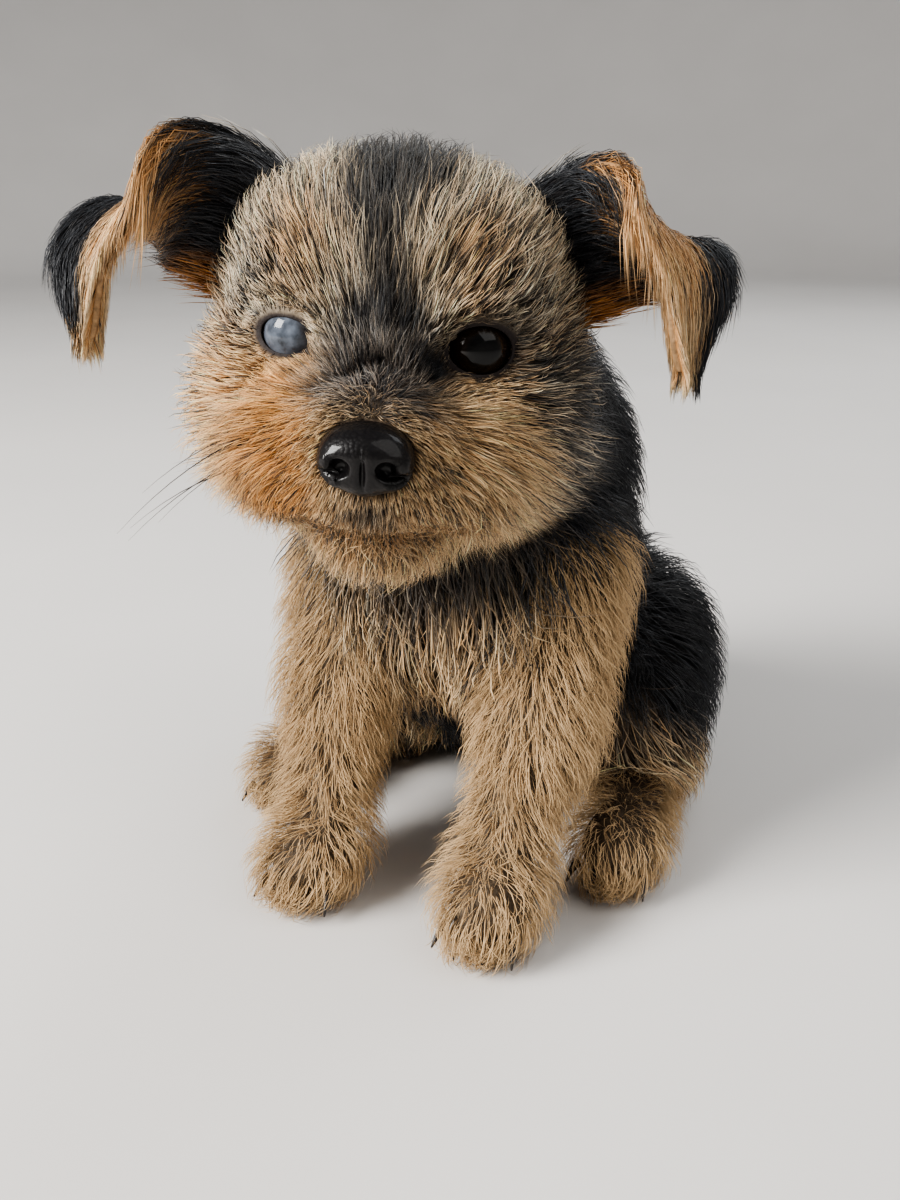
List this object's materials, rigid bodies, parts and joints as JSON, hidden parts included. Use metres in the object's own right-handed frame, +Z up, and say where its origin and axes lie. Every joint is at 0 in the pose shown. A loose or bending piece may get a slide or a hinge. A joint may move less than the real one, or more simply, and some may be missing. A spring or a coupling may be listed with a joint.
{
  "type": "yorkshire terrier",
  "caption": "Life-size still model of a sitting Yorkshire terrier puppy with folded ears and a fluffy black and tan coat.",
  "frame": {"origin": "on the floor, under the middle of the rump it sits on", "axes": "+Z up, -Y the way the chest faces, +X to the puppy's left"},
  "size_m": [0.1461, 0.2155, 0.1788],
  "materials": {
    "coat_tan": "soft tan and silvery puppy fur with dark roots",
    "coat_black": "soft glossy black puppy fur",
    "eye": "wet, glossy and nearly black",
    "nose_leather": "fine-grained, moist black leather"
  },
  "bodies": {
    "root": {"head": "coat_tan", "eye_left": "eye", "eye_right": "eye", "nose": "nose_leather", "ear_left": "coat_black", "ear_right": "coat_black", "neck": "coat_tan", "torso": "coat_black", "foreleg_left": "coat_tan", "foreleg_right": "coat_tan", "hindleg_left": "coat_black", "hindleg_right": "coat_black", "hindfoot_left": "coat_tan", "hindfoot_right": "coat_tan", "tail": "coat_black"}
  },
  "joints": []
}
